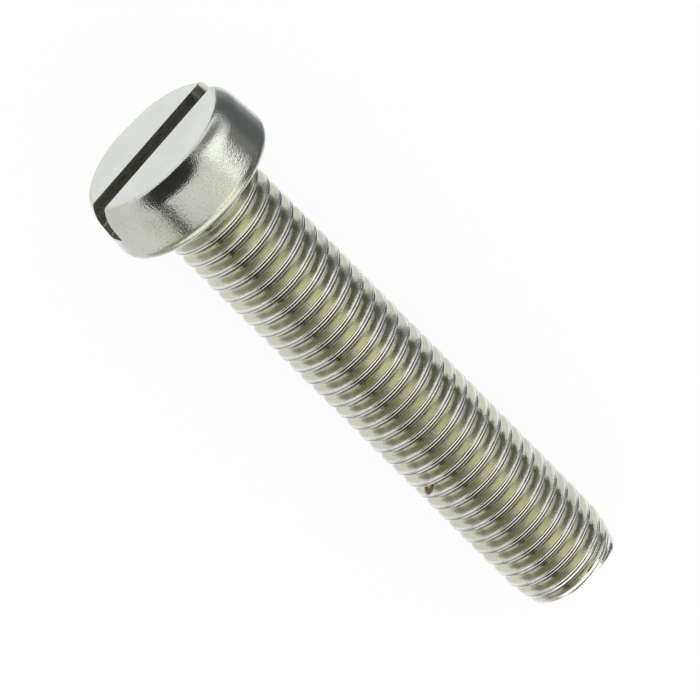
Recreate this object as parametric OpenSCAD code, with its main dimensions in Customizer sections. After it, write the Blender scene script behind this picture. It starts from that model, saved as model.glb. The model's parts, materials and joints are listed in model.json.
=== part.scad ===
// Slotted cheese head machine screw, M10 x 50, threaded up to the head.
// One solid piece of plain stainless steel, lying on its side as it comes to rest: the rim of
// the head and the last full crest before the tapered tip touch the ground.
// The screw is drawn along its own axis, with the bearing face of the head at zero and the tip
// at +Z, and is then laid down along X with the head at -X.

/* [Head] */
// Widest diameter of the head, next to its bearing face
head_d = 15.5; // [15:0.1:18]
// Height of the head
head_h = 5.8; // [4.8:0.1:8]
// Slope of the side, which narrows towards the top
side_draft = 5; // [1:0.5:10]
// Radius of the crown between the side and the rim
crown_r = 3.4; // [1.5:0.1:3.5]
// Radius of the rim round at the flat top
rim_r = 0.45; // [0.2:0.05:0.8]
// Slope at which the rim round runs into the crown
rim_slope = 55; // [45:1:70]
// Radius of the round at the bearing face
bearing_r = 1.1; // [0.5:0.1:1.5]
// Radius of the fillet between the bearing face and the neck
fillet_r = 0.45; // [0.3:0.05:0.6]

/* [Slot] */
// Width of the driver slot
slot_w = 2.4; // [1.6:0.1:3.2]
// Depth of the driver slot below the flat top
slot_depth = 3.05; // [1.8:0.05:3.8]
// Turn of the slot about the axis, from level
slot_turn = 10; // [-90:1:90]

/* [Thread] */
// Length from the bearing face to the middle of the end face
shank_len = 49.2; // [20:0.1:80]
// Distance between neighbouring crests, right-hand thread
pitch = 1.5; // [1.25:0.05:1.75]
// Diameter over the crests
thread_d = 9.7; // [8:0.05:12]
// Depth of the groove as a share of the pitch
depth_share = 0.5; // [0.45:0.01:0.6]
// Width of the flat on the crests as a share of the pitch
crest_share = 0.24; // [0.08:0.01:0.26]
// Turn of the thread about the axis
thread_turn = 74; // [0:1:359]
// Depth of the plain neck below the crests
neck_depth = 0.3; // [0.15:0.05:0.45]
// Length of the plain neck
neck_len = 0.5; // [0.2:0.1:2]
// Length over which the groove runs out into the neck
runout_len = 1.2; // [0.5:0.1:3]

/* [Tip] */
// Length of the taper that rolling leaves at the tip
taper_len = 3; // [2.4:0.1:6]
// Slope of the taper, from the axis
taper_angle = 9; // [6:0.5:12]
// Length of the steeper last part of the taper
tip_len = 1.3; // [0.8:0.1:1.8]
// Slope of the last part, from the axis
tip_angle = 16; // [14:0.5:30]
// Slant of the end face, as it was cut off
end_tilt = 8.5; // [0:0.5:12]
// Direction of the longest side of the end face, about the axis
end_turn = 40; // [0:1:359]

/* [Facets] */
// Steps to one turn of the thread
turn_steps = 32; // [16:1:48]
// Slope of one step on the rounds of the head
round_step = 7.5; // [3:0.5:15]

/* [Hidden] */

steel = [0.78, 0.78, 0.76];

// Diameters that follow from the one over the crests
root_d = thread_d - 2 * pitch * depth_share;
neck_d = thread_d - 2 * neck_depth;

// Flank of the thread: 60 degrees between the two flanks
flank_angle = 30;
crest_w = pitch * crest_share;
flank_w = (thread_d - root_d) / 2 * tan(flank_angle);
root_w = pitch - crest_w - 2 * flank_w;

// Where the four edges of one turn lie along the axis, from the middle of its crest
edge_z = [-crest_w / 2, crest_w / 2, crest_w / 2 + flank_w, crest_w / 2 + flank_w + root_w];
edge_r = [thread_d / 2, thread_d / 2, root_d / 2, root_d / 2];

// Crest that lies at the bottom of the screw, in the first turn below the bearing face
crest_zero = -pitch * thread_turn / 360;

// The shank is sunk into the head by half of what the slot leaves there. Its blank reaches past
// the slanted end face, and the thread is drawn longer than the blank at both ends.
sunk = (head_h - slot_depth) / 2;
spare = 0.3;
blank_r = thread_d / 2 + spare;
blank_end = shank_len + blank_r * tan(end_tilt) + spare;
first_turn = -ceil((pitch + sunk + spare + crest_zero) / pitch);
turns = ceil((blank_end + spare - crest_zero) / pitch) - first_turn;
rows = 4 * turns;

// Taper at the tip: where it starts, and where its last part does
taper_z = shank_len - taper_len;
last_z = shank_len - tip_len;
last_r = thread_d / 2 - (taper_len - tip_len) * tan(taper_angle);

// Profile of the head: centres of the rim round, the crown and the round at the bearing face,
// each as [radius, height along the axis]
crown_slope = 90 - side_draft;
bearing_c = [head_d / 2 - bearing_r, -bearing_r];
rim_z = -head_h + rim_r;
crown_z = rim_z + (crown_r - rim_r) * cos(rim_slope);
side_low = on_round(bearing_c, bearing_r, crown_slope);
side_high_z = crown_z - crown_r * cos(crown_slope);
side_high = [side_low[0] - (side_low[1] - side_high_z) * tan(side_draft), side_high_z];
crown_c = [side_high[0] - crown_r * sin(crown_slope), crown_z];
rim_c = [crown_c[0] + (crown_r - rim_r) * sin(rim_slope), rim_z];

// The fillet runs a little below the neck's surface, so that the two cross cleanly
fillet_seat = 0.05;
fillet_c = [neck_d / 2 - fillet_seat + fillet_r, fillet_r];

// Rest: the round at the bearing face touches the ground, and so does the crest along the bottom
// that lets the screw tilt least
low_crests = [for (n = [1 : turns]) crest_zero + pitch * n];
rest_tilt = min([for (z = low_crests) if (z + crest_w / 2 < shank_len)
    each [rest_angle(z + crest_w / 2), rest_angle(max(z - crest_w / 2, min(z + crest_w / 2, taper_z)))]]);
rest_z = bearing_c[1] * sin(rest_tilt) + bearing_c[0] * cos(rest_tilt) + bearing_r;
low_x = rim_z * cos(rest_tilt) - rim_c[0] * sin(rest_tilt) - rim_r;
high_x = max([for (a = [0 : 3 : 357]) rim_x(a)]);

// Point on a round of the head's profile at a slope from the flat top
function on_round(c, r, slope) = [c[0] + r * sin(slope), c[1] - r * cos(slope)];

// Points of a round from one slope to another, without the first one
function round_points(c, r, from, to) =
    let (n = ceil(abs(to - from) / round_step))
        [for (i = [1 : n]) on_round(c, r, from + (to - from) * i / n)];

// Radius that the taper at the tip leaves at a height
function taper_radius(z) =
    min(thread_d / 2 - max(0, z - taper_z) * tan(taper_angle), last_r - (z - last_z) * tan(tip_angle));

// Tilt at which the screw rests on a crest with its edge at this height
function rest_angle(z) =
    let (run = z - bearing_c[1], drop = bearing_c[0] - taper_radius(z))
        atan(drop / run) + asin(bearing_r / norm([run, drop]));

// Radius of the full thread at an angle and a height
function thread_radius(a, z) =
    let (turn_z = (z - crest_zero) / pitch - a / 360, off = abs(turn_z - round(turn_z)) * pitch)
        max(root_d / 2, min(thread_d, thread_d - (2 * off - crest_w) / tan(flank_angle)) / 2);

// How far the rim of the slanted end face reaches along the ground, at an angle round the axis
function rim_x(a) =
    let (
        rise = tan(end_tilt) * cos(a - end_turn),
        z = shank_len + rise * taper_radius(shank_len),
        r = min(taper_radius(z), thread_radius(a, z))
    )
        (shank_len + rise * r) * cos(rest_tilt) - r * cos(a) * sin(rest_tilt);

// Share of the thread's full depth at a height: none on the neck, all of it after the run-out
function groove_share(z) = min(1, max(0, (z - neck_len) / runout_len));

// Radius of one edge of the thread at a height
function edge_radius(k, z) = neck_d / 2 + (edge_r[k] - neck_d / 2) * groove_share(z);

// Height of one edge of the thread: row counts the edges along the axis, step goes round it
function edge_height(row, step) =
    crest_zero + pitch * (first_turn + floor(row / 4) + step / turn_steps) + edge_z[row % 4];

// Point of the thread on one edge, at one step round the axis
function thread_point(row, step) =
    let (a = 360 * step / turn_steps, z = edge_height(row, step), r = edge_radius(row % 4, z))
        [r * cos(a), r * sin(a), z];

// Number of the point in the list: the first column is a turn longer, because the last column
// of the surface is the first one again, one turn on
function point_id(row, step) =
    step == turn_steps ? row + 4 : (step == 0 ? row : rows + 5 + (step - 1) * (rows + 1) + row);

module head() {
    color(steel)
        rotate_extrude($fn = 96)
            polygon(concat(
                [[0, -head_h], [rim_c[0], -head_h]],
                round_points(rim_c, rim_r, 0, rim_slope),
                round_points(crown_c, crown_r, rim_slope, crown_slope),
                [side_low],
                round_points(bearing_c, bearing_r, crown_slope, 180),
                [[fillet_c[0], 0]],
                round_points(fillet_c, fillet_r, 0, -90),
                [[0, fillet_r]]
            ));
}

// The whole surface of the thread as one closed strip: crest, flank, root, flank, turn by turn
module thread() {
    column = [for (row = [0 : rows + 4]) thread_point(row, 0)];
    columns = [for (step = [1 : turn_steps - 1], row = [0 : rows]) thread_point(row, step)];
    near = [0, 0, edge_height(2, turn_steps / 2)];
    far = [0, 0, edge_height(rows + 2, turn_steps / 2)];
    near_id = len(column) + len(columns);
    far_id = near_id + 1;
    strips = [for (step = [0 : turn_steps - 1], row = [0 : rows - 1])
        each [
            [point_id(row, step), point_id(row + 1, step), point_id(row, step + 1)],
            [point_id(row, step + 1), point_id(row + 1, step), point_id(row + 1, step + 1)]
        ]];
    near_rim = concat([for (step = [0 : turn_steps]) point_id(0, step)], [3, 2, 1, 0]);
    far_rim = concat([for (step = [0 : turn_steps]) point_id(rows, step)],
                     [rows + 3, rows + 2, rows + 1, rows]);
    near_cap = [for (i = [0 : len(near_rim) - 2]) [near_id, near_rim[i], near_rim[i + 1]]];
    far_cap = [for (i = [0 : len(far_rim) - 2]) [far_id, far_rim[i + 1], far_rim[i]]];
    color(steel)
        polyhedron(
            points = concat(column, columns, [near, far]),
            faces = concat(strips, near_cap, far_cap)
        );
}

// Everything that the tapered blank leaves of the thread
module blank() {
    rotate_extrude($fn = 96)
        polygon([
            [0, -sunk],
            [blank_r, -sunk],
            [blank_r, taper_z - spare / tan(taper_angle)],
            [last_r, last_z],
            [taper_radius(blank_end), blank_end],
            [0, blank_end]
        ]);
}

// What is cut off beyond the slanted end face
module end_cut() {
    translate([0, 0, shank_len])
        rotate([0, -end_tilt, end_turn])
            translate([-head_d, -head_d, 0])
                cube(2 * head_d);
}

module shank() {
    difference() {
        intersection() {
            thread();
            blank();
        }
        end_cut();
    }
}

module slot() {
    color(steel)
        rotate(-slot_turn)
            translate([-slot_w / 2, -head_d, -head_h - slot_depth])
                cube([slot_w, 2 * head_d, 2 * slot_depth]);
}

module screw() {
    translate([-(low_x + high_x) / 2, 0, rest_z])
        rotate([0, 90 + rest_tilt, 0])
            union() {
                difference() {
                    head();
                    slot();
                }
                shank();
            }
}

screw();
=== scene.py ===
"""Slotted cheese head machine screw: thread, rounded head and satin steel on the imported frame."""

import json
import math

import bmesh
import bpy
from bpy.props import FloatProperty, FloatVectorProperty, IntProperty, PointerProperty
from mathutils import Matrix, Vector


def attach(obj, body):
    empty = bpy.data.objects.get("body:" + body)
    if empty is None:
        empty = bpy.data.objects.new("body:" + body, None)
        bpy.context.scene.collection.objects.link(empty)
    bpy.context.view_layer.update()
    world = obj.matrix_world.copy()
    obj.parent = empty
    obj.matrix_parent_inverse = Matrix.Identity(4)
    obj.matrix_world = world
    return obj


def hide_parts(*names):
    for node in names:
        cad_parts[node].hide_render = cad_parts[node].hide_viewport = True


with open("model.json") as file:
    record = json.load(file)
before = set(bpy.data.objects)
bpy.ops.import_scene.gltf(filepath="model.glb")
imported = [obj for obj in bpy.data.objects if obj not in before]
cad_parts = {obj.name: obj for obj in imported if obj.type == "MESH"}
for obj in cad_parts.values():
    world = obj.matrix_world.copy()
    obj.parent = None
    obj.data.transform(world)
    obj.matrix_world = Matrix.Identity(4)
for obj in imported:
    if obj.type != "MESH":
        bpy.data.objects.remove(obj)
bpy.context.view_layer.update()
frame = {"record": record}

bl_info = {
    "name": "Slotted machine screw",
    "version": (1, 0, 0),
    "blender": (4, 5, 0),
    "location": "3D View > Sidebar > Screw",
    "description": "A cheese head screw with a rolled thread, in satin stainless steel",
    "category": "Add Mesh",
}

MM = 0.001
MOUNTS = {mount["name"]: mount for mount in frame["record"]["mounts"]}


def length(name, description, millimetres, least=0.0):
    """A length that the panel shows in the scene's own unit."""
    return FloatProperty(
        name=name, description=description, default=millimetres * MM, min=least,
        subtype="DISTANCE", unit="LENGTH", precision=5,
    )


def angle(name, description, degrees):
    return FloatProperty(
        name=name, description=description, default=math.radians(degrees),
        subtype="ANGLE", unit="ROTATION",
    )


def factor(name, description, default, most=1.0):
    return FloatProperty(
        name=name, description=description, default=default, min=0.0, max=most, subtype="FACTOR",
    )


def colour(name, description, default):
    return FloatVectorProperty(
        name=name, description=description, default=default, size=3, min=0.0, max=1.0,
        subtype="COLOR",
    )


class HeadSizes(bpy.types.PropertyGroup):
    width: length("Width", "Widest diameter, next to the bearing face", 15.5)
    height: length("Height", "From the bearing face to the flat top", 5.8)
    draft: angle("Draft", "Slope of the side, which narrows towards the top", 5)
    crown: length("Crown", "Radius between the side and the rim", 3.4)
    rim: length("Rim", "Radius of the rim round at the flat top", 0.45)
    rim_slope: angle("Rim Slope", "Slope at which the rim round runs into the crown", 55)
    bearing: length("Bearing Round", "Radius of the round at the bearing face", 1.1)
    fillet: length("Fillet", "Radius between the bearing face and the neck", 0.45)
    segments: IntProperty(
        name="Segments", description="Steps round the head", default=160, min=24, max=256
    )


class SlotSizes(bpy.types.PropertyGroup):
    width: length("Width", "Between the two walls", 2.4)
    depth: length("Depth", "Below the flat top", 3.05)
    edge: length("Edge", "Radius of the worn edge along the flat top", 0.07)
    corner: length("Corner", "Radius between a wall and the floor", 0.12)
    turn: angle("Turn", "Turn about the axis, from level", 10)


class ThreadSizes(bpy.types.PropertyGroup):
    length: length("Length", "From the bearing face to the middle of the end face", 49.2)
    pitch: length("Pitch", "Between neighbouring crests", 1.5)
    crest: length("Crest Diameter", "Over the crests", 9.7)
    root: length("Root Diameter", "At the bottom of the groove", 8.2)
    crest_flat: length("Crest Flat", "Width of the rolled crest", 0.36)
    seam: length("Seam", "Half the width of the groove that rolling leaves along the crest", 0.05)
    seam_depth: length("Seam Depth", "Depth of that groove", 0.06)
    crest_round: length("Crest Round", "Softness of the lips of the crest", 0.032)
    root_round: length("Root Round", "Softness of the bottom of the groove", 0.12)
    nick: length("Nicks", "Depth of the dents along the crest", 0.07)
    turn: angle("Turn", "Turn of the thread about the axis", 74)
    neck: length("Neck Diameter", "Of the plain neck below the head", 9.1)
    neck_length: length("Neck Length", "Of the plain neck", 0.5)
    runout: length("Run-out", "Over which the groove comes in", 1.2)
    taper_length: length("Taper Length", "Of the taper that rolling leaves at the tip", 3.0)
    taper: angle("Taper", "Slope of the taper, from the axis", 9)
    tip_length: length("Tip Length", "Of the steeper last part of the taper", 1.3)
    tip_slope: angle("Tip Slope", "Slope of the last part, from the axis", 16)
    tip_round: length("Tip Round", "Softness between the slopes of the taper", 0.12)
    end_tilt: angle("End Tilt", "Slant of the end face, as it was cut off", 8.5)
    end_turn: angle("End Turn", "Direction of the longest side of the end face", 40)
    steps: IntProperty(
        name="Steps", description="Steps to one turn", default=84, min=16, max=160
    )
    rows: IntProperty(
        name="Rows", description="Rows of points from crest to crest", default=28, min=8, max=32
    )


class SteelFinish(bpy.types.PropertyGroup):
    face: colour("Face", "Colour of the steel on the flat top", (0.75, 0.768, 0.738))
    side: colour("Side", "Colour of the steel on the side of the head", (0.7, 0.718, 0.645))
    # The crest's colour is also the painted highlight at the slot's end on +Y
    crest: colour("Crest", "Colour of the burnished lips of the crest", (0.92, 0.92, 0.88))
    # Painted shade: the groove's darker, olive colour stands in for the shade deep between the
    # flanks
    groove: colour("Groove", "Colour of the steel in the thread's groove", (0.65, 0.65, 0.53))
    slot: colour("Slot", "Colour of the steel in the slot", (0.6, 0.6, 0.53))
    # Painted shade: dark colour in the thread's seam, beside the crest and in the groove, and in a
    # strip in the slot
    painted_shade: colour("Painted Shade", "Colour of the dark residue in the groove", (0.06, 0.058, 0.045))
    gloss: factor("Face Roughness", "Of the flat top", 0.18)
    satin: factor("Side Roughness", "Of the side of the head", 0.17)
    cut: factor("Slot Roughness", "Of the walls of the slot", 0.12)
    rolled: factor("Thread Roughness", "Of the rolled thread", 0.2)


class StudioLight(bpy.types.PropertyGroup):
    floor: colour("Floor", "Colour of the floor", (0.95, 0.95, 0.95))
    white: factor("White", "Share of the floor that shows as plain white", 0.93)
    mirrored: factor("Mirrored White", "The same share in the steel's reflections", 0.7)
    fill: FloatProperty(
        name="Fill", description="Strength of the even light", default=1.0, min=0.0
    )
    room: FloatProperty(
        name="Room", description="Brightness of the room in the steel's reflections",
        default=0.8, min=0.0,
    )
    lens: FloatProperty(
        name="Lens", description="Focal length", default=305.3, min=1.0,
        subtype="DISTANCE_CAMERA", unit="CAMERA",
    )
    place: FloatVectorProperty(
        name="Camera", description="Where the camera stands",
        default=(-0.186898, -0.000405, 0.46212), subtype="TRANSLATION", unit="LENGTH",
    )
    tilt: angle("Camera Tilt", "How far the camera looks down", 67.9047)
    roll: angle("Camera Roll", "Turn of the camera about its own line of sight", 135)


# Helpers for nodes, meshes and places


def add_node(tree, kind, inputs=None, **settings):
    """Add a node; an input takes a socket, which is linked, or a plain value."""
    node = tree.nodes.new(kind)
    for key, value in settings.items():
        setattr(node, key, value)
    for key, value in (inputs or {}).items():
        if isinstance(value, bpy.types.NodeSocket):
            tree.links.new(value, node.inputs[key])
        else:
            node.inputs[key].default_value = value
    return node


def calc(tree, operation, *values):
    inputs = dict(enumerate(values))
    return add_node(tree, "ShaderNodeMath", inputs, operation=operation).outputs[0]


def map_range(tree, value, low, high, to_low=0.0, to_high=1.0, kind="SMOOTHSTEP"):
    return add_node(
        tree, "ShaderNodeMapRange",
        {"Value": value, "From Min": low, "From Max": high, "To Min": to_low, "To Max": to_high},
        interpolation_type=kind,
    ).outputs["Result"]


def new_material(name):
    """A material with an empty node tree, and that tree."""
    made = bpy.data.materials.new(name)
    made.use_nodes = True
    made.node_tree.nodes.clear()
    return made, made.node_tree


def add_object(name, mesh):
    piece = bpy.data.objects.new(name, mesh)
    bpy.context.scene.collection.objects.link(piece)
    return piece


def make_plain(piece):
    """Turn what the modifiers give into the piece's own mesh."""
    bpy.context.view_layer.update()
    graph = bpy.context.evaluated_depsgraph_get()
    mesh = bpy.data.meshes.new_from_object(piece.evaluated_get(graph))
    drawn = piece.data
    piece.modifiers.clear()
    piece.data = mesh
    bpy.data.meshes.remove(drawn)
    return mesh


def screw_place():
    """From the screw's own axis, bearing face at zero and tip at +Z, to where it lies."""
    mount = MOUNTS["bearing_face"]
    along = Vector(mount["axis"]).normalized()
    across = Vector((0.0, 1.0, 0.0))
    down = across.cross(along)
    place = Matrix((down, across, along)).transposed().to_4x4()
    place.translation = (mount["pos_m"][0], 0.0, mount["pos_m"][2])
    return place


# The thread

THREAD_SOCKETS = (
    ("Pitch", "Float"), ("Start", "Float"), ("Crest Radius", "Float"), ("Root Radius", "Float"),
    ("Crest Half", "Float"), ("Seam", "Float"), ("Seam Depth", "Float"), ("Crest Round", "Float"),
    ("Root Round", "Float"), ("Nick", "Float"), ("Neck Radius", "Float"), ("Neck Length", "Float"),
    ("Run-out", "Float"), ("Taper Start", "Float"), ("Taper Rise", "Float"), ("Tip Start", "Float"),
    ("Tip Radius", "Float"), ("Tip Rise", "Float"), ("Tip Round", "Float"),
    ("Steps", "Int"), ("Rows", "Int"), ("Turns", "Int"),
    ("Material", "Material"),
)
CREST_ROWS = 0.64  # share of the rows that lie on and beside the crest
CREST_REACH = 0.19  # how far they reach to each side of it, in pitches
FLANK_ANGLE = math.radians(30)  # half of the angle between the two flanks
FLANK_COT = 1.0 / math.tan(FLANK_ANGLE)
DENT_SCALE = 900.0  # spots to the metre in the noise that gives the nicks
DENT_LOW, DENT_HIGH = 0.66, 0.78  # values of the noise where a nick starts and is full
DENT_FULL, DENT_END = 0.12 * MM, 0.3 * MM  # from the crest: where the nicks fade and end
WELD = 0.002 * MM  # the last column of the sheet falls on the first one, one turn on
TOUCH, CUT_NEAR = 1e-7, 1e-8  # how near a point on a plane lies, and one that is cut, in metres


def thread_tree():
    """A sheet of rows that follow the thread, its radius worked out from the way to the crest."""
    tree = bpy.data.node_groups.new("Rolled thread", "GeometryNodeTree")
    for name, kind in THREAD_SOCKETS:
        tree.interface.new_socket(name=name, in_out="INPUT", socket_type="NodeSocket" + kind)
    tree.interface.new_socket(name="Geometry", in_out="OUTPUT", socket_type="NodeSocketGeometry")
    given = tree.nodes.new("NodeGroupInput").outputs

    row_count = calc(tree, "MULTIPLY", given["Rows"], given["Turns"])
    grid = add_node(tree, "GeometryNodeMeshGrid", {
        "Size X": 1.0, "Size Y": 1.0,
        "Vertices X": calc(tree, "ADD", given["Steps"], 1),
        "Vertices Y": calc(tree, "ADD", row_count, 1),
    })
    place = add_node(tree, "GeometryNodeInputPosition").outputs[0]
    spot = add_node(tree, "ShaderNodeSeparateXYZ", {0: place})
    turn = calc(tree, "ADD", spot.outputs["X"], 0.5)
    rows_up = calc(tree, "MULTIPLY", calc(tree, "ADD", spot.outputs["Y"], 0.5), row_count)
    row = calc(tree, "ROUND", rows_up)
    phase = calc(tree, "DIVIDE", row, given["Rows"])
    crest = calc(tree, "ROUND", phase)
    side = calc(tree, "SUBTRACT", phase, crest)
    rows_off = calc(tree, "ABSOLUTE", side)
    near = calc(tree, "MINIMUM", rows_off, CREST_ROWS / 2)
    far = calc(tree, "SUBTRACT", rows_off, near)
    off = calc(tree, "MULTIPLY_ADD", far, (0.5 - CREST_REACH) / (0.5 - CREST_ROWS / 2),
               calc(tree, "MULTIPLY", near, CREST_REACH / (CREST_ROWS / 2)))
    placed_row = calc(tree, "MULTIPLY_ADD", calc(tree, "SIGN", side), off, crest)
    height = calc(
        tree, "MULTIPLY_ADD", calc(tree, "ADD", placed_row, turn), given["Pitch"], given["Start"]
    )
    from_crest = calc(tree, "MULTIPLY", off, given["Pitch"])
    round_axis = calc(tree, "MULTIPLY", turn, math.tau)
    cosine, sine = calc(tree, "COSINE", round_axis), calc(tree, "SINE", round_axis)

    flank = calc(
        tree, "SUBTRACT", given["Crest Radius"],
        calc(tree, "MULTIPLY", calc(tree, "SUBTRACT", from_crest, given["Crest Half"]), FLANK_COT),
    )
    flank = calc(tree, "SMOOTH_MAX", flank, given["Root Radius"], given["Root Round"])
    seam_reach = calc(tree, "DIVIDE", from_crest, given["Seam"])
    seam_square = calc(tree, "MULTIPLY", seam_reach, seam_reach)
    seam_shape = calc(tree, "EXPONENT", calc(tree, "MULTIPLY", seam_square, -1.0))
    past = calc(tree, "SUBTRACT", height, given["Taper Start"])
    taper = calc(
        tree, "SUBTRACT", given["Crest Radius"], calc(tree, "MULTIPLY", past, given["Taper Rise"])
    )
    past = calc(tree, "SUBTRACT", height, given["Tip Start"])
    tip = calc(
        tree, "SUBTRACT", given["Tip Radius"], calc(tree, "MULTIPLY", past, given["Tip Rise"])
    )
    taper = calc(tree, "SMOOTH_MIN", taper, tip, given["Tip Round"])
    lips = calc(
        tree, "SUBTRACT", calc(tree, "MINIMUM", given["Crest Radius"], taper),
        calc(tree, "MULTIPLY", seam_shape, given["Seam Depth"]),
    )
    head_side = calc(tree, "LESS_THAN", side, 0.0)  # the lip there is twice as soft
    softness = calc(tree, "MULTIPLY_ADD", head_side, given["Crest Round"], given["Crest Round"])
    radius = calc(tree, "SMOOTH_MIN", flank, lips, softness)
    dents = add_node(tree, "ShaderNodeTexNoise", {
        "Vector": add_node(tree, "ShaderNodeCombineXYZ", {
            0: calc(tree, "MULTIPLY", cosine, given["Crest Radius"]),
            1: calc(tree, "MULTIPLY", sine, given["Crest Radius"]),
            2: height,
        }).outputs[0],
        "Scale": DENT_SCALE, "Detail": 2.0,
    }).outputs[0]
    on_crest = map_range(tree, from_crest, DENT_FULL, DENT_END, 1.0, 0.0)
    dented = calc(tree, "MULTIPLY", map_range(tree, dents, DENT_LOW, DENT_HIGH), on_crest)
    radius = calc(tree, "SUBTRACT", radius, calc(tree, "MULTIPLY", dented, given["Nick"]))
    past = calc(tree, "SUBTRACT", height, given["Neck Length"])
    share = map_range(
        tree, calc(tree, "DIVIDE", past, given["Run-out"]), 0.0, 1.0, kind="LINEAR"
    )
    depth = calc(tree, "SUBTRACT", radius, given["Neck Radius"])
    radius = calc(tree, "MULTIPLY_ADD", depth, share, given["Neck Radius"])
    placed = add_node(tree, "GeometryNodeSetPosition", {
        "Geometry": grid.outputs["Mesh"],
        "Position": add_node(tree, "ShaderNodeCombineXYZ", {
            0: calc(tree, "MULTIPLY", cosine, radius),
            1: calc(tree, "MULTIPLY", sine, radius),
            2: height,
        }).outputs[0],
    })
    welded = add_node(
        tree, "GeometryNodeMergeByDistance", {"Geometry": placed.outputs[0], "Distance": WELD}
    )
    smooth = add_node(tree, "GeometryNodeSetShadeSmooth", {"Geometry": welded.outputs[0]})
    whole = add_node(tree, "GeometryNodeRealizeInstances", {"Geometry": smooth.outputs[0]})
    coated = add_node(tree, "GeometryNodeSetMaterial", {
        "Geometry": whole.outputs[0], "Material": given["Material"],
    })
    add_node(tree, "NodeGroupOutput", {0: coated.outputs[0]})
    return tree


def end_normal(thread):
    """The way the slanted end face looks."""
    lean, turn = math.sin(thread.end_tilt), thread.end_turn
    return Vector((-lean * math.cos(turn), -lean * math.sin(turn), math.cos(thread.end_tilt)))


def taper_radius(thread, height):
    """Radius over the crests, which falls off in two slopes at the tip."""
    past = max(0.0, height - (thread.length - thread.taper_length))
    steep = max(0.0, height - (thread.length - thread.tip_length))
    drop = (past - steep) * math.tan(thread.taper) + steep * math.tan(thread.tip_slope)
    return thread.crest / 2 - drop


def cut_ends(mesh, *ends):
    """Cut the open sheet off at the plane of each end, given as height and normal, and close it."""
    cut = bmesh.new()
    cut.from_mesh(mesh)
    for height, normal in ends:
        spot = Vector((0.0, 0.0, height))
        bmesh.ops.bisect_plane(
            cut, geom=cut.verts[:] + cut.edges[:] + cut.faces[:], dist=CUT_NEAR,
            plane_co=spot, plane_no=normal, clear_outer=True,
        )
        rim = [edge for edge in cut.edges if edge.is_boundary
               and all(abs((vert.co - spot).dot(normal)) < TOUCH for vert in edge.verts)]
        bmesh.ops.holes_fill(cut, edges=rim, sides=0)
    bmesh.ops.recalc_face_normals(cut, faces=cut.faces[:])
    loose = [edge for edge in cut.edges if not edge.is_manifold]
    if loose:
        raise RuntimeError(f"the thread isn't closed: {len(loose)} open edges")
    cut.to_mesh(mesh)
    cut.free()


# The head

# Steps on the rounds of the head's profile, and on its two straight parts
RIM_STEPS, CROWN_STEPS, BEARING_STEPS, FILLET_STEPS = 8, 8, 14, 6
SIDE_STEPS, RING_STEPS = 6, 3
FACE_RINGS = (0.25, 0.5, 0.75, 0.9, 1.0)  # rings of points on the flat top, as a share of it
FILLET_SEAT = 0.05 * MM  # how far the fillet runs below the neck's surface
SLOT_STEPS = 6  # steps on the rounds of the slot
SLOT_SPARE = 4  # how far the cutter reaches past the flat top, in radii of the slot's edge


def round_points(centre, radius, first, last, count):
    """Points of a round between two slopes from the flat top, without the first one."""
    steps = [first + (last - first) * i / count for i in range(1, count + 1)]
    return [(centre[0] + radius * math.sin(a), centre[1] - radius * math.cos(a)) for a in steps]


def line_points(first, last, count):
    """Points of a straight part, without the first one."""
    return [
        tuple(a + (b - a) * i / count for a, b in zip(first, last)) for i in range(1, count + 1)
    ]


def head_profile(head, neck_radius):
    """Half section of the head from the flat top to the neck, as radius and height."""
    side_slope = math.pi / 2 - head.draft
    bearing = (head.width / 2 - head.bearing, -head.bearing)
    low = round_points(bearing, head.bearing, 0, side_slope, 1)[0]
    rim_z = head.rim - head.height
    crown_z = rim_z + (head.crown - head.rim) * math.cos(head.rim_slope)
    high_z = crown_z - head.crown * math.cos(side_slope)
    high_r = low[0] - (low[1] - high_z) * math.tan(head.draft)
    crown = (high_r - head.crown * math.sin(side_slope), crown_z)
    rim = (crown[0] + (head.crown - head.rim) * math.sin(head.rim_slope), rim_z)
    fillet = (neck_radius - FILLET_SEAT + head.fillet, head.fillet)
    points = [(rim[0] * share, -head.height) for share in FACE_RINGS]
    points += round_points(rim, head.rim, 0, head.rim_slope, RIM_STEPS)
    points += round_points(crown, head.crown, head.rim_slope, side_slope, CROWN_STEPS)
    points += line_points((high_r, high_z), low, SIDE_STEPS)
    points += round_points(bearing, head.bearing, side_slope, math.pi, BEARING_STEPS)
    points += line_points((bearing[0], 0.0), (fillet[0], 0.0), RING_STEPS)
    points += round_points(fillet, head.fillet, 0, -math.pi / 2, FILLET_STEPS)
    return points


def lathe(name, profile, segments):
    """Turn a half section into a closed body, with a centre point at each end."""
    made = bmesh.new()
    angles = [math.tau * i / segments for i in range(segments)]
    rings = [
        [made.verts.new((radius * math.cos(a), radius * math.sin(a), height)) for a in angles]
        for radius, height in profile
    ]
    first = made.verts.new((0.0, 0.0, profile[0][1]))
    last = made.verts.new((0.0, 0.0, profile[-1][1]))
    for i in range(segments):
        j = (i + 1) % segments
        made.faces.new((first, rings[0][j], rings[0][i]))
        made.faces.new((last, rings[-1][i], rings[-1][j]))
        for near, far in zip(rings, rings[1:]):
            made.faces.new((near[i], near[j], far[j], far[i]))
    bmesh.ops.recalc_face_normals(made, faces=made.faces[:])
    for face in made.faces:
        face.smooth = True
    mesh = bpy.data.meshes.new(name)
    made.to_mesh(mesh)
    made.free()
    return mesh


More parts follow.
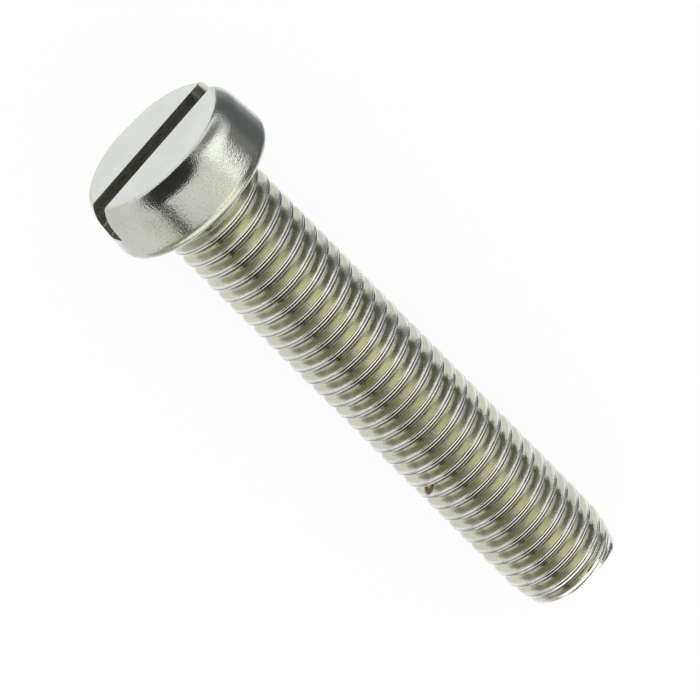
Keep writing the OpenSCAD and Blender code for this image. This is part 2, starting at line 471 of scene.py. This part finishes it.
def slot_cutter(head, slot):
    """Bar that leaves the slot: straight walls, round at the floor, a little open at the top."""
    half, edge = slot.width / 2, slot.edge
    top, reach = -head.height, head.width
    floor, corner = top + slot.depth, slot.corner
    angles = [math.pi / 2 * i / SLOT_STEPS for i in range(SLOT_STEPS + 1)]
    side = [
        (half - corner + corner * math.sin(a), floor - corner + corner * math.cos(a))
        for a in angles
    ]
    side.append((half, top + edge))
    side += [
        (half + edge - edge * math.cos(a), top + edge - edge * math.sin(a)) for a in angles[1:]
    ]
    side.append((half + edge, top - edge * SLOT_SPARE))
    outline = side + [(-x, z) for x, z in reversed(side)]
    made = bmesh.new()
    ends = [[made.verts.new((x, y, z)) for x, z in outline] for y in (-reach, reach)]
    made.faces.new(ends[0])
    made.faces.new(list(reversed(ends[1])))
    for i in range(len(outline)):
        j = (i + 1) % len(outline)
        made.faces.new((ends[0][j], ends[0][i], ends[1][i], ends[1][j]))
    bmesh.ops.recalc_face_normals(made, faces=made.faces[:])
    bmesh.ops.rotate(made, verts=made.verts[:], matrix=Matrix.Rotation(-slot.turn, 3, "Z"))
    mesh = bpy.data.meshes.new("slot_cutter")
    made.to_mesh(mesh)
    made.free()
    return mesh


# The steel

FACE, SIDE, SLOT, THREAD = range(4)

# Grain of each finish: its strength, spots to the metre, strength of the waves, and metallic
FACE_GRAIN = (0.12, 5200.0, 0.12, 1.0)
SIDE_GRAIN = (0.5, 8600.0, 0.12, 1.0)
SLOT_GRAIN = (0.03, 3800.0, 0.1, 0.94)
THREAD_GRAIN = (0.35, 5200.0, 0.3, 1.0)
CLOUD_SCALE = 240.0  # clouds to the metre
CLOUD_LOW, CLOUD_HIGH = 0.35, 0.65  # values of the clouds where the shade starts and is full
CLOUD_SHADE = 0.1  # how much of the shade the clouds bring
SPECK_LOW, SPECK_HIGH = 0.54, 0.74  # values of the grain where a speck starts and is full
SPECK_SHADE = 0.45  # how much of the shade a speck brings
SHADE = 0.3  # the shade, as a share of the colour
ROUGH_LOW, ROUGH_HIGH = 0.3, 0.7  # values of the clouds where the steel is smoothest and roughest
ROUGH_SPREAD = 0.15  # how much the roughness varies
WAVE_HEIGHT, GRAIN_HEIGHT = 0.02 * MM, 0.03 * MM

# The slot's walls get a painted highlight in the crest's colour at the end on +Y: where that
# starts, how far it takes to come in, and the strip of painted shade before it
SLOT_HIGHLIGHT_START, SLOT_HIGHLIGHT_FADE = 6.08 * MM, 0.2 * MM
SLOT_SHADE_START, SLOT_SHADE_FULL, SLOT_SHADE_SHARE = 1.05 * MM, 0.35 * MM, 0.75
SHADE_CLEAR_OF_HIGHLIGHT = 10 * MM  # moves the painted shade strip clear of the painted highlight

# Knock in a crest near the tip: its height and angle, how far it reaches along and round the
# axis, and how deep it is. It is full from halfway in, and carries dirt with rust in the middle:
# how far in each starts and is full, its share there, and its colour
KNOCK_HEIGHT, KNOCK_ANGLE = 33.03 * MM, math.radians(-113)
KNOCK_ALONG, KNOCK_ROUND, KNOCK_DEPTH = 0.6 * MM, 0.9 * MM, 0.35 * MM
KNOCK_STEEPNESS = 2.0
KNOCK_DIRT, DIRT_COLOUR = (0.03, 0.25, 0.0, 0.95), (0.08, 0.07, 0.025)
KNOCK_RUST, RUST_COLOUR = (0.55, 0.75, 0.0, 0.8), (0.7, 0.42, 0.12)

# Painted shade on the thread: in the seam of the crest, and on the two halves of the groove's
# bottom. It starts early on the first half and fades at its end, and dies out over the second one
SEAM_PAINTED_SHADE, FIRST_PAINTED_SHADE, SECOND_PAINTED_SHADE = 0.6, 0.9, 0.4
PAINTED_SHADE_EARLY, PAINTED_SHADE_END, PAINTED_SHADE_FADE = 0.1 * MM, 0.8 * MM, 0.12 * MM
GROOVE_SHADE_GAIN, GROOVE_SHADE_START = 6, 0.4  # how fast the groove's colour, a painted shade, comes in below the crest
FACING, CUT_FACING = 0.9999, 0.99999  # cosines above which a face looks a given way
THREAD_START = 0.02 * MM  # above the bearing face, where the thread's finish starts
HAIR = 1e-6  # how far past a plane a face or a point still counts, in metres
WEAR = ("groove", "painted_shade", "stain")  # what each point carries for the materials: share of the painted groove shade, the painted shade, and the stain


def attribute(tree, name):
    return add_node(tree, "ShaderNodeAttribute", attribute_name=name).outputs["Fac"]


def mix(tree, share, first, second):
    """Mix two colours, each a socket or plain values."""
    first, second = (
        side if isinstance(side, bpy.types.NodeSocket) else (*side, 1.0) for side in (first, second)
    )
    return add_node(
        tree, "ShaderNodeMix", {0: share, 6: first, 7: second}, data_type="RGBA"
    ).outputs[2]


def steel_material(name, plain, groove, painted_shade, roughness, grain, slot_highlight_start=None):
    """Steel: fine grain, faint waves and clouds in colour, roughness and bump; the thread gets
    painted shade and the slot a painted highlight and a strip of painted shade.
    """
    strength, spots, wave, metal = grain
    made, tree = new_material(name)
    spot = add_node(tree, "ShaderNodeTexCoord").outputs["Object"]
    clouds = add_node(
        tree, "ShaderNodeTexNoise", {"Vector": spot, "Scale": CLOUD_SCALE, "Detail": 3.0}
    ).outputs[0]
    fine = add_node(
        tree, "ShaderNodeTexNoise",
        {"Vector": spot, "Scale": spots, "Detail": 0.5, "Roughness": 0.6},
    ).outputs[0]
    # The thread: painted shade by the depth in the groove and by the painted shade attribute. The
    # slot: a painted highlight at the end on +Y, and a strip of painted shade before it
    if slot_highlight_start is None:
        depth, painted_shade_share = attribute(tree, "groove"), attribute(tree, "painted_shade")
    else:
        away = add_node(tree, "ShaderNodeSeparateXYZ", {0: spot}).outputs["Y"]
        depth = map_range(tree, away, slot_highlight_start, slot_highlight_start + SLOT_HIGHLIGHT_FADE)
        inside = calc(tree, "SUBTRACT", away, calc(tree, "MULTIPLY", depth, SHADE_CLEAR_OF_HIGHLIGHT))
        painted_shade_share = map_range(
            tree, inside, slot_highlight_start - SLOT_SHADE_START, slot_highlight_start - SLOT_SHADE_FULL, 0.0, SLOT_SHADE_SHARE
        )
    specks = map_range(tree, fine, SPECK_LOW, SPECK_HIGH, 0.0, SPECK_SHADE * strength)
    cloudy = map_range(tree, clouds, CLOUD_LOW, CLOUD_HIGH, 0.0, CLOUD_SHADE)
    shade = calc(tree, "ADD", specks, cloudy)
    # mix in the second colour, the painted groove shade on the thread and the painted highlight in
    # the slot, then the painted shade
    base = mix(tree, shade, mix(tree, depth, plain, groove), tuple(SHADE * c for c in plain))
    base = mix(tree, painted_shade_share, base, painted_shade)
    stain = attribute(tree, "stain")
    base = mix(tree, map_range(tree, stain, *KNOCK_DIRT), base, DIRT_COLOUR)
    base = mix(tree, map_range(tree, stain, *KNOCK_RUST), base, RUST_COLOUR)
    rough = map_range(
        tree, clouds, ROUGH_LOW, ROUGH_HIGH,
        roughness * (1 - ROUGH_SPREAD), roughness * (1 + ROUGH_SPREAD),
    )
    soft = add_node(tree, "ShaderNodeBump", {
        "Strength": wave, "Distance": WAVE_HEIGHT, "Height": clouds,
    })
    bump = add_node(tree, "ShaderNodeBump", {
        "Strength": 1.0, "Distance": strength * GRAIN_HEIGHT, "Height": fine,
        "Normal": soft.outputs[0],
    })
    shader = add_node(tree, "ShaderNodeBsdfPrincipled", {
        "Base Color": base, "Metallic": metal, "Roughness": rough, "Normal": bump.outputs[0],
    })
    add_node(tree, "ShaderNodeOutputMaterial", {"Surface": shader.outputs[0]})
    return made


def slot_across(slot):
    """The way across the slot."""
    return Matrix.Rotation(-slot.turn, 3, "Z") @ Vector((1.0, 0.0, 0.0))


def finish_faces(mesh, head, slot, thread):
    """Give each face its finish by where it lies."""
    across, end = slot_across(slot), end_normal(thread)
    for face in mesh.polygons:
        centre, normal = face.center, face.normal
        cut_off = normal.dot(end) > CUT_FACING
        level = abs(normal.z) > FACING
        in_slot = (
            abs(centre.dot(across)) < slot.width / 2 + HAIR
            and centre.z < -head.height + slot.depth + HAIR
        )
        wall = in_slot and abs(normal.dot(across)) > FACING
        if centre.z > THREAD_START and not cut_off:
            face.material_index = THREAD
        elif normal.z < -FACING and centre.z < -head.height + HAIR:
            face.material_index = FACE
        elif wall or in_slot and level:
            face.material_index = SLOT
        else:
            face.material_index = SIDE
        face.use_smooth = not (level or cut_off or wall)


def painted_shade_at(off, thread, root_start):
    """Share of painted shade on the full thread, at a height from its crest towards the tip."""
    if abs(off) < thread.seam:
        return SEAM_PAINTED_SHADE
    if off > root_start - PAINTED_SHADE_EARLY:
        coming, going = (off - root_start) / PAINTED_SHADE_EARLY + 1.0, (PAINTED_SHADE_END - off) / PAINTED_SHADE_FADE
        return FIRST_PAINTED_SHADE * min(1.0, coming, going)
    if off < -root_start:
        return SECOND_PAINTED_SHADE * (-off - root_start) / (thread.pitch / 2 - root_start)
    return 0.0


def wear_points(mesh, head, slot, thread):
    """Give each point its depth in the groove for the painted groove shade, its painted shade and
    its stain, and dent the knock.
    """
    across = slot_across(slot)
    for name in WEAR:
        mesh.attributes.new(name, "FLOAT", "POINT")
    layers = [mesh.attributes[name].data for name in WEAR]
    span = (thread.crest - thread.root) / 2
    root_start = thread.crest_flat / 2 + span * math.tan(FLANK_ANGLE)
    for vert, groove, painted_shade, stain in zip(mesh.vertices, *layers):
        spot = vert.co
        if spot.z <= 0:
            groove.value = float(
                abs(spot.dot(across)) < slot.width / 2 + HAIR
                and -head.height + slot.edge < spot.z < -head.height + slot.depth + HAIR
            )
            continue
        radius, angle_round = math.hypot(spot.x, spot.y), math.atan2(spot.y, spot.x)
        below = (taper_radius(thread, spot.z) - radius) / span
        round_off = math.remainder(angle_round - KNOCK_ANGLE, math.tau) * radius
        reach = math.hypot((spot.z - KNOCK_HEIGHT) / KNOCK_ALONG, round_off / KNOCK_ROUND)
        turns = spot.z / thread.pitch - (angle_round - thread.turn) / math.tau
        off = (turns - round(turns)) * thread.pitch
        formed = min(1.0, max(0.0, (spot.z - thread.neck_length) / thread.runout))
        # painted shade in the groove's colour, fuller deeper in the groove
        groove.value = min(1.0, max(0.0, GROOVE_SHADE_GAIN * below - GROOVE_SHADE_START))
        # painted shade in the seam and beside the crest, faded in over the run-out
        painted_shade.value = painted_shade_at(off, thread, root_start) * formed
        knocked = 1.0 - reach
        if knocked > 0:
            stain.value = knocked
            inward = KNOCK_DEPTH * min(1.0, KNOCK_STEEPNESS * knocked) * max(0.0, 1.0 - below)
            left = 1.0 - inward / radius
            vert.co = (spot.x * left, spot.y * left, spot.z)


# The operators that make the screw

SHARP = math.radians(55)  # an edge between two faces at more than this stays sharp
LEAST_FACES = 10000  # fewer than this, and the thread is missing


class SCREW_OT_add_thread(bpy.types.Operator):
    """Make the threaded shank, closed at both ends, on its own axis"""

    bl_idname = "screw.add_thread"
    bl_label = "Add Thread"

    def execute(self, context):
        scene = context.scene
        head, slot, thread = scene.screw_head, scene.screw_slot, scene.screw_thread
        sunk = (head.height - slot.depth) / 2
        crest_zero = -thread.pitch * thread.turn / math.tau
        before = math.ceil((thread.pitch + sunk + crest_zero) / thread.pitch)
        start = crest_zero - before * thread.pitch
        end = thread.length + thread.crest / 2 * math.tan(thread.end_tilt)
        turns = math.ceil((end - start) / thread.pitch)
        tip_start = thread.length - thread.tip_length
        shank = add_object("shank", bpy.data.meshes.new("shank"))
        tree = thread_tree()
        modifier = shank.modifiers.new("Rolled thread", "NODES")
        modifier.node_group = tree
        values = {
            "Pitch": thread.pitch, "Start": start, "Crest Radius": thread.crest / 2,
            "Root Radius": thread.root / 2, "Crest Half": thread.crest_flat / 2,
            "Seam": thread.seam, "Seam Depth": thread.seam_depth,
            "Crest Round": thread.crest_round, "Root Round": thread.root_round,
            "Nick": thread.nick, "Neck Radius": thread.neck / 2,
            "Neck Length": thread.neck_length, "Run-out": thread.runout,
            "Taper Start": thread.length - thread.taper_length,
            "Taper Rise": math.tan(thread.taper),
            "Tip Start": tip_start, "Tip Rise": math.tan(thread.tip_slope),
            "Tip Radius": taper_radius(thread, tip_start), "Tip Round": thread.tip_round,
            "Steps": thread.steps, "Rows": thread.rows, "Turns": turns,
        }
        for item in tree.interface.items_tree:
            if item.in_out == "INPUT" and item.name in values:
                modifier[item.identifier] = values[item.name]
        mesh = make_plain(shank)
        if not mesh.polygons:
            raise RuntimeError("the thread's nodes gave no faces")
        cut_ends(mesh, (-sunk, Vector((0.0, 0.0, -1.0))), (thread.length, end_normal(thread)))
        return {"FINISHED"}


class SCREW_OT_add_head(bpy.types.Operator):
    """Turn the head, cut its slot, join it to the shank and lay the screw on the ground"""

    bl_idname = "screw.add_head"
    bl_label = "Add Head"

    def execute(self, context):
        scene = context.scene
        head, slot, thread = scene.screw_head, scene.screw_slot, scene.screw_thread
        steel = scene.screw_steel
        shank = bpy.data.objects["shank"]
        profile = head_profile(head, thread.neck / 2)
        piece = add_object("machine_screw", lathe("machine_screw", profile, head.segments))
        cutter = add_object("slot_cutter", slot_cutter(head, slot))
        for other, operation in ((cutter, "DIFFERENCE"), (shank, "UNION")):
            step = piece.modifiers.new(other.name, "BOOLEAN")
            step.operation, step.solver, step.object = operation, "EXACT", other
        mesh = make_plain(piece)
        for other in (cutter, shank):
            bpy.data.objects.remove(other)
        mesh.materials.clear()
        finish_faces(mesh, head, slot, thread)
        wear_points(mesh, head, slot, thread)
        face, side = [steel.face] * 3, [steel.side] * 3
        # The slot's second colour is its painted highlight, the thread's its painted groove shade;
        # the last colour of both is the painted shade
        cut = (steel.slot, steel.crest, steel.painted_shade)
        rolled = (steel.crest, steel.groove, steel.painted_shade)
        for made in (
            steel_material("steel face", *face, steel.gloss, FACE_GRAIN),
            steel_material("steel side", *side, steel.satin, SIDE_GRAIN),
            steel_material("steel slot", *cut, steel.cut, SLOT_GRAIN, SLOT_HIGHLIGHT_START),
            steel_material("steel thread", *rolled, steel.rolled, THREAD_GRAIN),
        ):
            mesh.materials.append(made)
        mesh.set_sharp_from_angle(angle=SHARP)
        mesh.transform(screw_place())
        mesh.update()
        if len(mesh.polygons) < LEAST_FACES:
            raise RuntimeError("the head and the shank didn't join")
        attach(piece, "root")
        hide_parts("screw")
        return {"FINISHED"}


# The stage

# What the warmth takes from the green, above and below zero, and from the blue
WARM_GREEN, COOL_GREEN, BLUE = 0.03, 0.2, 0.38


def toward(azimuth, elevation):
    """Direction from the object; azimuth 0 is in front, on -Y, and 90 on +X."""
    a, e = math.radians(azimuth), math.radians(elevation)
    return Vector((math.sin(a) * math.cos(e), -math.cos(a) * math.cos(e), math.sin(e)))


def flat_material(name, brightness, warmth):
    """Plain light, yellower with the warmth and bluer below zero."""
    made, tree = new_material(name)
    green = WARM_GREEN if warmth > 0 else COOL_GREEN
    shader = add_node(tree, "ShaderNodeEmission", {
        "Color": (1.0, 1.0 - green * warmth, 1.0 - BLUE * warmth, 1.0), "Strength": brightness,
    })
    add_node(tree, "ShaderNodeOutputMaterial", {"Surface": shader.outputs[0]})
    return made


# Cards round the screw: brightness, warmth, and the azimuth and elevation of each corner
CARDS = {
    "camera_side": (0.035, 0.0, (
        (-146, 62), (-120, 37), (-96, 1), (-75, 2), (-44, 15), (-16, 31), (0, 37), (-1, 50),
        (-3, 78), (-175, 83),
    )),
    "near_gap": (0.03, 0.0, ((-1, 50), (41, 48), (36, 36), (0, 37))),
    "far_box": (1.35, 0.0, ((-146, 48), (150, 48), (168, 15), (-164, 20))),
    "far_corner": (0.13, 0.0, (
        (158, 34), (141, 30), (117, 12), (115, 1), (143, 1), (176, 1), (171, 13),
    )),
    "far_strip": (0.25, 0.0, (
        (-121, 41), (-142, 42), (-162, 22), (-168, 1), (-153, 1), (-131, 24),
    )),
    "tip_near": (0.3, 1.0, (
        (19, 3), (40, 3), (54, 34), (68, 46), (68, 62), (40, 56), (26, 40), (20, 22),
    )),
    "tip_high": (1.35, 0.7, ((84, 62), (142, 60), (144, 43), (128, 41), (86, 46))),
    "tip_far": (0.4, 1.0, ((149, 43), (157, 33), (146, 31), (136, 37))),
    "tip_low": (1.25, 0.15, (
        (48, 24), (60, 33), (80, 38), (106, 36), (124, 24), (128, 10), (118, 2), (46, 2),
    )),
}
CARD_DISTANCE = 0.6  # in metres
# Cards on the floor beside the screw: brightness, warmth, and each corner in millimetres
FLOOR_CARDS = {
    "far_floor_beside_the_head": (0.27, -0.5, ((-60, 12), (-10, 12), (-10, 18), (-60, 18))),
    "far_floor_at_the_head": (0.13, -0.5, ((-60, 18), (-10, 18), (-10, 600), (-60, 600))),
    "far_floor": (0.14, 0.0, ((-10, 19), (300, 19), (300, 600), (-10, 600))),
    "near_floor_at_the_head": (0.8, 0.0, (
        (-60, -13), (-10, -13), (-10, -28), (250, -600), (-60, -600),
    )),
    "near_floor": (0.6, 0.0, ((-10, -13), (300, -13), (300, -28), (-10, -28))),
    "near_floor_farther_out": (0.35, 0.2, ((-10, -28), (300, -28), (300, -600), (250, -600))),
    "floor_at_the_head": (1.4, 0.0, ((-28.5, -7), (-24, -7), (-24, 7), (-28.5, 7))),
}
CARD_HEIGHT = 0.2 * MM  # of the cards on the floor
FLOOR_REACH = 3.0  # in metres, from the middle to each side
CLIP = (0.01, 10.0)  # the nearest and the farthest that the camera sees, in metres


def add_card(name, corners, brightness, warmth):
    """A card that only shows as a reflection in the steel."""
    mesh = bpy.data.meshes.new(name)
    mesh.from_pydata(corners, [], [tuple(range(len(corners)))])
    card = add_object(name, mesh)
    mesh.materials.append(flat_material(name, brightness, warmth))
    card.visible_camera = card.visible_diffuse = card.visible_shadow = False
    card.visible_transmission = card.visible_volume_scatter = False


def floor_material(light):
    """Pale floor: mostly plain white to the camera and in mirrors, the rest takes the shadow."""
    made, tree = new_material("floor")
    ray = add_node(tree, "ShaderNodeLightPath").outputs
    seen = calc(
        tree, "MULTIPLY_ADD", ray["Is Camera Ray"], light.white,
        calc(tree, "MULTIPLY", ray["Is Glossy Ray"], light.mirrored),
    )
    matte = add_node(tree, "ShaderNodeBsdfDiffuse", {"Color": (*light.floor, 1.0)})
    white = add_node(tree, "ShaderNodeEmission", {"Color": (1.0, 1.0, 1.0, 1.0), "Strength": 1.0})
    mixed = add_node(tree, "ShaderNodeMixShader", {
        0: seen, 1: matte.outputs[0], 2: white.outputs[0],
    })
    add_node(tree, "ShaderNodeOutputMaterial", {"Surface": mixed.outputs[0]})
    return made


class SCREW_OT_add_stage(bpy.types.Operator):
    """Make the floor, the soft light, the reflecting cards and the camera"""

    bl_idname = "screw.add_stage"
    bl_label = "Add Stage"

    def execute(self, context):
        scene, light = context.scene, context.scene.screw_light
        mesh = bpy.data.meshes.new("floor")
        far = FLOOR_REACH
        corners = [(-far, -far, 0), (far, -far, 0), (far, far, 0), (-far, far, 0)]
        mesh.from_pydata(corners, [], [(0, 1, 2, 3)])
        floor = add_object("floor", mesh)
        mesh.materials.append(floor_material(light))

        world = bpy.data.worlds.new("studio")
        world.use_nodes = True
        tree = world.node_tree
        tree.nodes.clear()
        ray = add_node(tree, "ShaderNodeLightPath").outputs
        strength = map_range(
            tree, ray["Is Glossy Ray"], 0.0, 1.0, light.fill, light.room, kind="LINEAR"
        )
        back = add_node(
            tree, "ShaderNodeBackground", {"Color": (1.0, 1.0, 1.0, 1.0), "Strength": strength}
        )
        add_node(tree, "ShaderNodeOutputWorld", {"Surface": back.outputs[0]})
        scene.world = world

        for name, (brightness, warmth, corners) in CARDS.items():
            places = [toward(*corner) * CARD_DISTANCE for corner in corners]
            add_card(name, places, brightness, warmth)
        for name, (brightness, warmth, corners) in FLOOR_CARDS.items():
            add_card(name, [(x * MM, y * MM, CARD_HEIGHT) for x, y in corners], brightness, warmth)

        camera = bpy.data.objects.new("camera", bpy.data.cameras.new("camera"))
        scene.collection.objects.link(camera)
        camera.data.lens = light.lens
        camera.data.clip_start, camera.data.clip_end = CLIP
        camera.matrix_world = (
            Matrix.Translation(light.place)
            @ Matrix.Rotation(-math.pi / 2, 4, "Z")
            @ Matrix.Rotation(math.pi / 2 - light.tilt, 4, "X")
            @ Matrix.Rotation(light.roll, 4, "Z")
        )
        scene.camera = camera
        scene.view_settings.view_transform = "Standard"
        return {"FINISHED"}


class SCREW_PT_panel(bpy.types.Panel):
    bl_label = "Machine Screw"
    bl_idname = "SCREW_PT_panel"
    bl_space_type = "VIEW_3D"
    bl_region_type = "UI"
    bl_category = "Screw"

    def draw(self, context):
        for title, group, operator in (
            ("Thread", "screw_thread", "screw.add_thread"),
            ("Head", "screw_head", "screw.add_head"),
            ("Slot", "screw_slot", None),
            ("Steel", "screw_steel", None),
            ("Stage", "screw_light", "screw.add_stage"),
        ):
            box = self.layout.box()
            box.label(text=title)
            settings = getattr(context.scene, group)
            for name in settings.bl_rna.properties.keys():
                if name not in ("rna_type", "name"):
                    box.prop(settings, name)
            if operator:
                box.operator(operator)


# What the add-on registers

GROUPS = {
    "screw_head": HeadSizes, "screw_slot": SlotSizes, "screw_thread": ThreadSizes,
    "screw_steel": SteelFinish, "screw_light": StudioLight,
}
CLASSES = (
    *GROUPS.values(), SCREW_OT_add_thread, SCREW_OT_add_head, SCREW_OT_add_stage, SCREW_PT_panel,
)


def register():
    for part in CLASSES:
        bpy.utils.register_class(part)
    for name, group in GROUPS.items():
        setattr(bpy.types.Scene, name, PointerProperty(type=group))


def unregister():
    for name in GROUPS:
        delattr(bpy.types.Scene, name)
    for part in reversed(CLASSES):
        bpy.utils.unregister_class(part)


def main():
    register()
    bpy.ops.screw.add_thread()
    bpy.ops.screw.add_head()
    bpy.ops.screw.add_stage()


if __name__ == "__main__":
    main()
